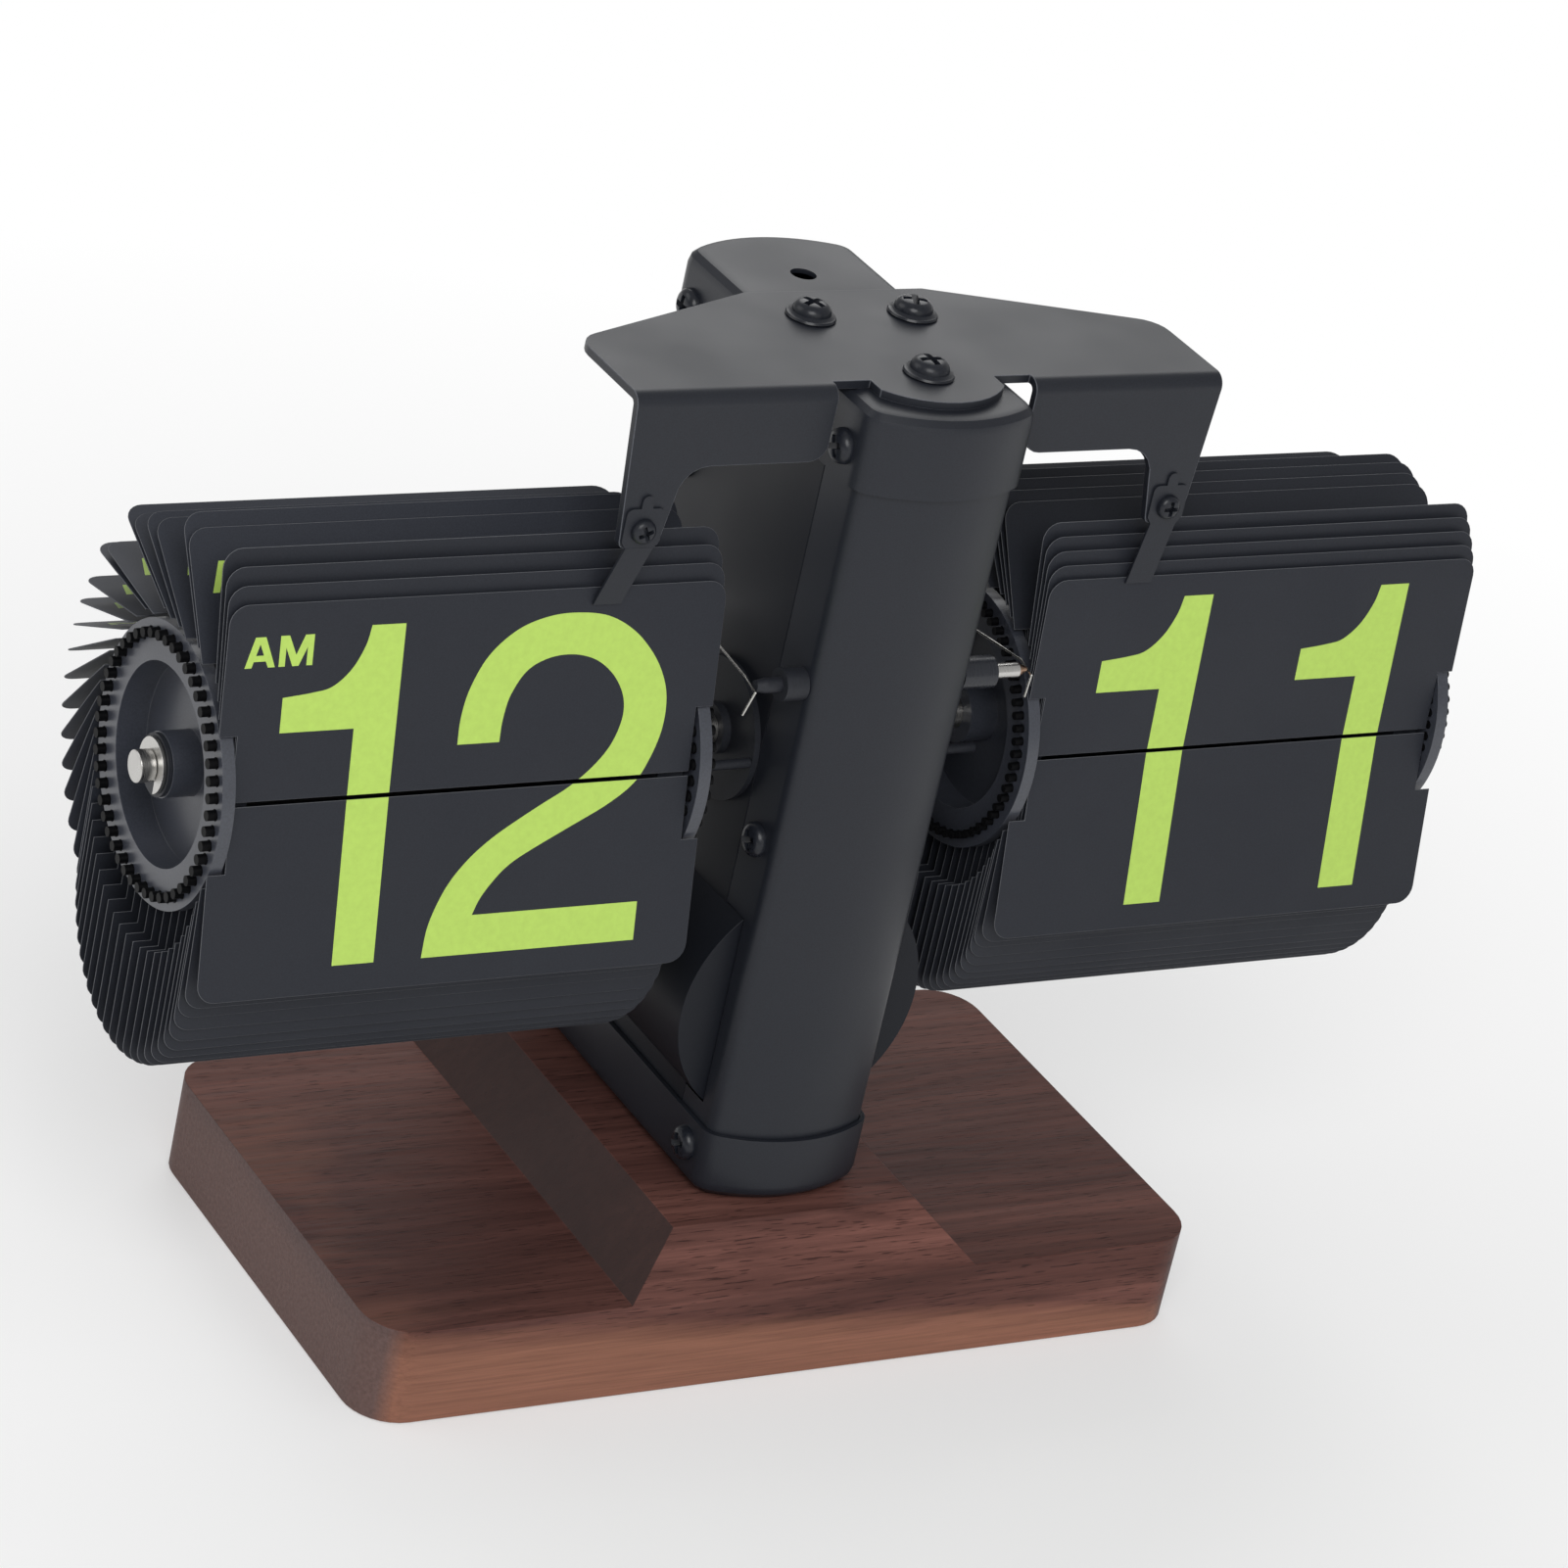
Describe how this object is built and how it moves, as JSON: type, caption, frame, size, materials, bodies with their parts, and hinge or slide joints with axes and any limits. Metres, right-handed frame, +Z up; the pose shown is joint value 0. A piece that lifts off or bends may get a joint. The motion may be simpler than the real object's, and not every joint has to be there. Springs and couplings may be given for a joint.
{
  "type": "flip clock",
  "caption": "Desk flip clock: hour and minute flap reels on a black sheet metal column with a bridge bracket and spring fingers, standing on a stepped walnut base.",
  "frame": {"origin": "centre of the wooden base's underside, on the table", "axes": "+Z up, +X to the right of a person who reads the clock, along both reels; the display faces -Y"},
  "size_m": [0.228, 0.0901, 0.167],
  "materials": {
    "walnut": "oiled",
    "felt": "matt",
    "zinc_screw": "zinc plated",
    "black_sheet": "satin powder coat",
    "black_screw": "black oxide",
    "black_spring": "satin",
    "brass": "machined",
    "steel": "turned",
    "black_post": "satin",
    "spring_wire": "drawn",
    "disc_moulding": "moulded",
    "flap_sheet": "matt sheet",
    "motor_moulding": "moulded",
    "cell_jacket": "satin",
    "contact_metal": "nickel plated"
  },
  "bodies": {
    "clock": {"wood_base": "walnut", "base_pads": "felt", "base_screws": "zinc_screw", "motor_screws": "zinc_screw", "bottom_tray": "black_sheet", "front_cover": "black_sheet", "rear_cover": "black_sheet", "left_side_plate": "black_sheet", "right_side_plate": "black_sheet", "top_cap": "black_sheet", "bridge_bracket": "black_sheet", "cap_screws": "black_screw", "tray_screws": "black_screw", "frame_screws": "black_screw", "bracket_screws": "black_screw", "finger_screws": "black_screw", "hour_finger": "black_spring", "minute_finger": "black_spring", "gear_plate": "brass", "plate_pillars": "steel", "hour_spring_post": "black_post", "minute_spring_post": "black_post", "hour_click_spring": "spring_wire", "minute_click_spring": "spring_wire", "hour_bush": "disc_moulding", "minute_bush": "disc_moulding", "hour_upper_flaps": "flap_sheet", "hour_rear_flaps": "flap_sheet", "hour_lower_flaps": "flap_sheet", "minute_upper_flaps": "flap_sheet", "minute_rear_flaps": "flap_sheet", "minute_lower_flaps": "flap_sheet", "motor_case": "motor_moulding", "battery_tube": "motor_moulding", "battery_cell": "cell_jacket", "battery_contacts": "contact_metal"},
    "minute_drum": {"minute_shaft": "steel", "minute_outer_disc": "disc_moulding", "minute_inner_disc": "disc_moulding", "minute_drum_core": "disc_moulding", "minute_end_washer": "disc_moulding", "minute_end_clip": "steel", "minute_flap_pins": "flap_sheet", "minute_pinion": "brass", "minute_wheel": "brass"},
    "hour_drum": {"hour_shaft": "steel", "hour_outer_disc": "disc_moulding", "hour_inner_disc": "disc_moulding", "hour_drum_core": "disc_moulding", "hour_end_washer": "disc_moulding", "hour_end_clip": "steel", "hour_flap_pins": "flap_sheet", "hour_wheel": "brass"},
    "lay_arbor": {"lay_shaft": "steel", "lay_wheel": "brass", "lay_pinion": "brass"},
    "motor_arbor": {"motor_pinion": "steel"},
    "hour_flap": {"hour_front_flap": "flap_sheet"},
    "minute_flap": {"minute_front_flap": "flap_sheet"},
    "battery_door": {"battery_cap": "motor_moulding"}
  },
  "joints": [
    {"name": "minute_drum_turn", "type": "hinge", "parent": "clock", "child": "minute_drum", "pos_m": [0, -0.004, 0.0983], "axis": [1, 0, 0], "continuous": true},
    {"name": "hour_drum_turn", "type": "hinge", "parent": "clock", "child": "hour_drum", "pos_m": [0, -0.004, 0.0983], "axis": [1, 0, 0], "continuous": true},
    {"name": "lay_arbor_turn", "type": "hinge", "parent": "clock", "child": "lay_arbor", "pos_m": [0, -0.004, 0.1178], "axis": [1, 0, 0], "continuous": true},
    {"name": "motor_arbor_turn", "type": "hinge", "parent": "clock", "child": "motor_arbor", "pos_m": [0, 0.0155, 0.0983], "axis": [1, 0, 0], "continuous": true},
    {"name": "hour_flap_fall", "type": "hinge", "parent": "clock", "child": "hour_flap", "pos_m": [0, -0.023, 0.10312], "axis": [1, 0, 0], "range_deg": [0, 170.5], "deforming": ["hour_finger"]},
    {"name": "minute_flap_fall", "type": "hinge", "parent": "clock", "child": "minute_flap", "pos_m": [0, -0.02338, 0.1012], "axis": [1, 0, 0], "range_deg": [0, 169], "deforming": ["minute_finger"]},
    {"name": "battery_cap_turn", "type": "hinge", "parent": "clock", "child": "battery_door", "pos_m": [0, 0.0475, 0.057], "axis": [0, 1, 0], "range_deg": [0, 90]}
  ],
  "couplings": [
    {"joint": "hour_drum_turn", "follows": "minute_drum_turn", "ratio": 0.041667},
    {"joint": "lay_arbor_turn", "follows": "minute_drum_turn", "ratio": -0.25},
    {"joint": "motor_arbor_turn", "follows": "minute_drum_turn", "ratio": -4}
  ]
}
